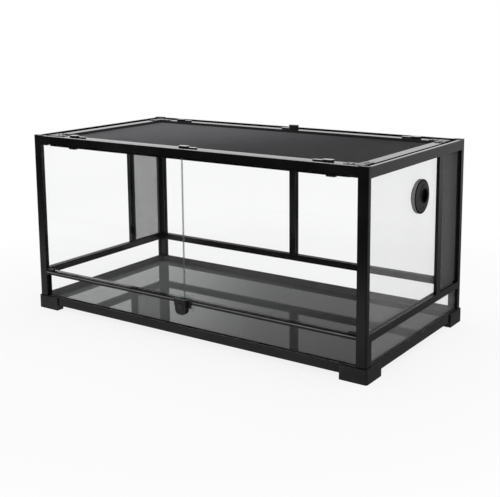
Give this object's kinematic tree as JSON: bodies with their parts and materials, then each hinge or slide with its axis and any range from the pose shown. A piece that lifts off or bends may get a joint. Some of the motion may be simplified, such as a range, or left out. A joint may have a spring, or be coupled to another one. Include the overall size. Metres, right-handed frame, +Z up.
{
  "type": "reptile terrarium",
  "caption": "Front-opening glass terrarium in a black rail frame, with swing doors, a lift-off screen top held by turn latches, side vents, a keyed lock and a rotary cable port.",
  "frame": {"origin": "middle of the footprint's bounding box, on the floor", "axes": "+X to the right seen from the doors, +Y from the doors to the back, +Z up"},
  "size_m": [0.92, 0.485, 0.4428],
  "materials": {
    "clear_glass": "clear float glass with a faint green edge",
    "clear_plastic": "clear moulded plastic",
    "frame_plastic": "black extruded rail, satin",
    "foot_plastic": "black moulded plastic, fine grain",
    "mesh_wire": "fine black coated wire mesh",
    "lid_metal": "black coated aluminium section",
    "latch_plastic": "black moulded plastic",
    "seal_rubber": "soft black ring",
    "port_plastic": "black moulded plastic",
    "lock_plastic": "black moulding",
    "lock_metal": "turned metal face",
    "bolt_steel": "plated flat bolt",
    "shoe_plastic": "black moulded clip"
  },
  "bodies": {
    "frame": {"floor_glass": "clear_glass", "bottom_rail_front": "frame_plastic", "bottom_rail_back": "frame_plastic", "bottom_rail_left": "frame_plastic", "bottom_rail_right": "frame_plastic", "foot_front_left": "foot_plastic", "foot_front_right": "foot_plastic", "foot_back_left": "foot_plastic", "foot_back_right": "foot_plastic", "post_front_left": "frame_plastic", "post_front_right": "frame_plastic", "post_back_left": "frame_plastic", "post_back_right": "frame_plastic", "mid_rail_front": "frame_plastic", "mid_rail_back": "frame_plastic", "mid_rail_left": "frame_plastic", "mid_rail_right": "frame_plastic", "top_rail_front": "frame_plastic", "top_rail_back": "frame_plastic", "top_rail_left": "frame_plastic", "top_rail_right": "frame_plastic", "screen_ledge": "lid_metal", "corner_caps": "frame_plastic", "strip_glass_front": "clear_glass", "strip_glass_back": "clear_glass", "strip_glass_left": "clear_glass", "strip_glass_right": "clear_glass", "back_glass_left": "clear_glass", "back_glass_right": "clear_glass", "back_divider": "frame_plastic", "side_glass_left": "clear_glass", "side_glass_right": "clear_glass", "side_dividers": "frame_plastic", "side_mesh_left": "mesh_wire", "side_mesh_right": "mesh_wire", "door_stop": "clear_plastic", "lock_body": "lock_plastic", "lock_pad": "clear_plastic", "port_flange": "port_plastic", "port_gasket": "seal_rubber", "port_ring": "port_plastic"},
    "door_left": {"door_left": "clear_glass", "door_shoes_left": "shoe_plastic"},
    "door_right": {"door_right": "clear_glass", "door_shoes_right": "shoe_plastic"},
    "lid": {"screen_rail_front": "lid_metal", "screen_rail_back": "lid_metal", "screen_rail_left": "lid_metal", "screen_rail_right": "lid_metal", "screen_plates": "lid_metal", "screen_mesh": "mesh_wire"},
    "latch_front_left": {"latch_front_left": "latch_plastic"},
    "latch_front_centre": {"latch_front_centre": "latch_plastic"},
    "latch_front_right": {"latch_front_right": "latch_plastic"},
    "latch_back_left": {"latch_back_left": "latch_plastic"},
    "latch_back_centre": {"latch_back_centre": "latch_plastic"},
    "latch_back_right": {"latch_back_right": "latch_plastic"},
    "lock_plug": {"lock_plug": "lock_metal"},
    "lock_bolt": {"lock_bolt": "bolt_steel"},
    "port_shutter": {"port_shutter": "port_plastic"}
  },
  "joints": [
    {"name": "door_left_hinge", "type": "hinge", "parent": "frame", "child": "door_left", "pos_m": [-0.42283, -0.225, 0.1], "axis": [0, 0, -1], "range_deg": [0, 110]},
    {"name": "door_right_hinge", "type": "hinge", "parent": "frame", "child": "door_right", "pos_m": [0.42283, -0.225, 0.1], "axis": [0, 0, 1], "range_deg": [0, 110]},
    {"name": "lid_lift", "type": "slide", "parent": "frame", "child": "lid", "axis": [0, 0, 1], "range_m": [0, 0.06]},
    {"name": "latch_front_left_turn", "type": "hinge", "parent": "lid", "child": "latch_front_left", "pos_m": [-0.35, -0.1985, 0.43], "axis": [0, 0, 1], "range_deg": [0, 90]},
    {"name": "latch_front_centre_turn", "type": "hinge", "parent": "lid", "child": "latch_front_centre", "pos_m": [-0.015, -0.1985, 0.43], "axis": [0, 0, 1], "range_deg": [0, 90]},
    {"name": "latch_front_right_turn", "type": "hinge", "parent": "lid", "child": "latch_front_right", "pos_m": [0.35, -0.1985, 0.43], "axis": [0, 0, -1], "range_deg": [0, 90]},
    {"name": "latch_back_left_turn", "type": "hinge", "parent": "lid", "child": "latch_back_left", "pos_m": [-0.35, 0.2075, 0.43], "axis": [0, 0, -1], "range_deg": [0, 90]},
    {"name": "latch_back_centre_turn", "type": "hinge", "parent": "lid", "child": "latch_back_centre", "pos_m": [0.015, 0.2075, 0.43], "axis": [0, 0, 1], "range_deg": [0, 90]},
    {"name": "latch_back_right_turn", "type": "hinge", "parent": "lid", "child": "latch_back_right", "pos_m": [0.35, 0.2075, 0.43], "axis": [0, 0, 1], "range_deg": [0, 90]},
    {"name": "lock_turn", "type": "hinge", "parent": "frame", "child": "lock_plug", "pos_m": [0, -0.2425, 0.0825], "axis": [0, -1, 0], "range_deg": [0, 90]},
    {"name": "bolt_lift", "type": "slide", "parent": "frame", "child": "lock_bolt", "axis": [0, 0, 1], "range_m": [0, 0.0064]},
    {"name": "port_turn", "type": "hinge", "parent": "frame", "child": "port_shutter", "pos_m": [0.45, 0.0095, 0.338], "axis": [1, 0, 0], "range_deg": [0, 180]}
  ],
  "couplings": [
    {"joint": "bolt_lift", "follows": "lock_turn", "m_per_rad": 0.0040515}
  ]
}
